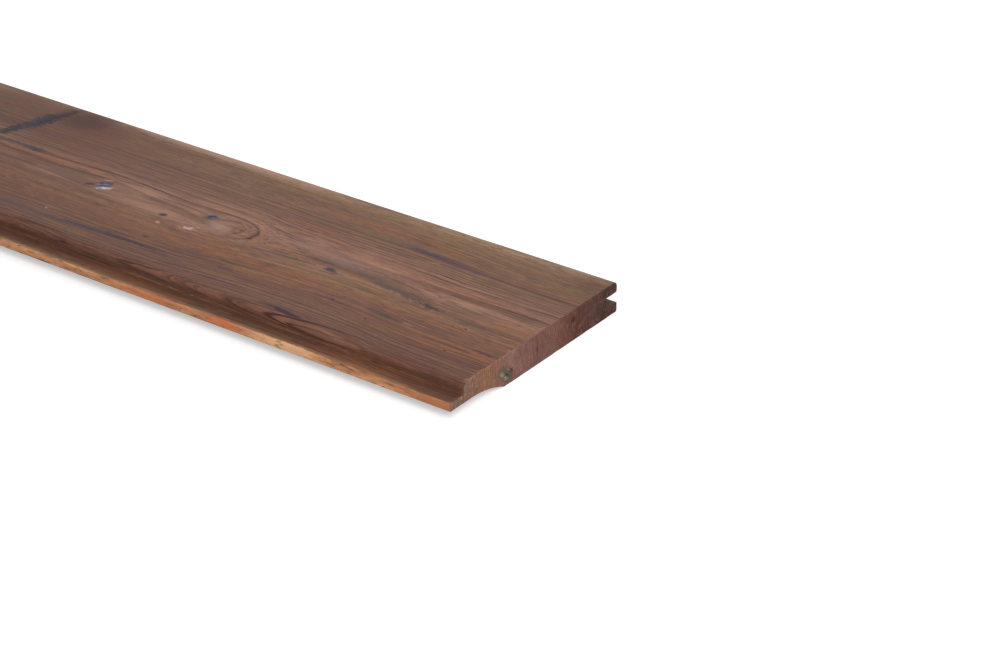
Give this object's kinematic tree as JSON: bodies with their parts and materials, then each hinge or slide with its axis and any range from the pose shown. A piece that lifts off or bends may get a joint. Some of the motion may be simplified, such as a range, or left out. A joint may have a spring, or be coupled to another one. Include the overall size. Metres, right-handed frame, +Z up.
{
  "type": "shiplap cladding board",
  "caption": "Planed softwood cladding board with a tongue on one edge, a groove on the other and a shallow scoop on its profiled face, stained brown.",
  "frame": {"origin": "middle of the board's footprint, on the plane of the profiled face that it lies on", "axes": "+X along the board's length, +Y across its width from the tongue to the groove, +Z up through its thickness to the plain face"},
  "size_m": [1.8, 0.145, 0.018],
  "materials": {
    "stained_softwood": "planed and impregnated dark brown, satin"
  },
  "bodies": {
    "root": {"cladding_board": "stained_softwood"}
  },
  "joints": []
}
